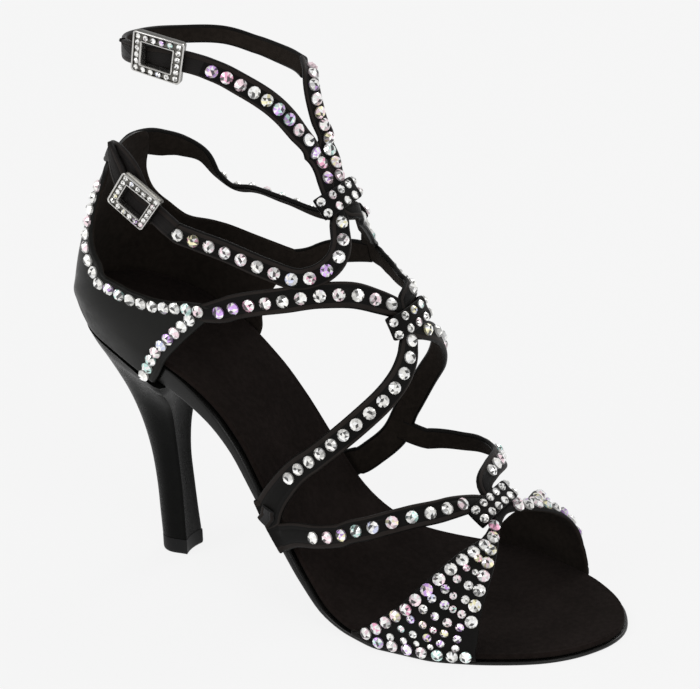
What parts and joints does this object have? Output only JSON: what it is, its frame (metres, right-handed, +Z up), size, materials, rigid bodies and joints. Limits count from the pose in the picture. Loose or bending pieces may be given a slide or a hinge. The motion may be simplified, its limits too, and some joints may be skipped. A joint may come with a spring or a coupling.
{
  "type": "ballroom dance shoe",
  "caption": "Black satin open-toe Latin and ballroom dance sandal for the right foot, with crossing stone-set straps, square buckles and a slim flared high heel.",
  "frame": {"origin": "centre of the heel tip's contact with the floor", "axes": "+X from the heel towards the toe, +Y towards the medial (inner) side, +Z up from the floor"},
  "size_m": [0.2036, 0.0854, 0.2038],
  "materials": {
    "black_satin": "black satin, softly lustrous, lined with dark brown-black suede",
    "brown_black_suede": "dark brown-black suede, matt",
    "black_suede_sole": "chrome suede below, satin wrapped at the sides",
    "heel_satin": "heel block covered in black satin",
    "grey_black_rubber": "dark grey rubber top piece, matt",
    "silver_frame": "silver-plated frame set with small clear stones"
  },
  "bodies": {
    "root": {"upper": "black_satin", "insole": "brown_black_suede", "sole": "black_suede_sole", "heel": "heel_satin", "heel_tip": "grey_black_rubber", "ankle_wrap": "black_satin", "instep_wrap": "black_satin", "vamp_wrap": "black_satin", "ankle_buckle": "silver_frame", "collar_buckle": "silver_frame"}
  },
  "joints": []
}
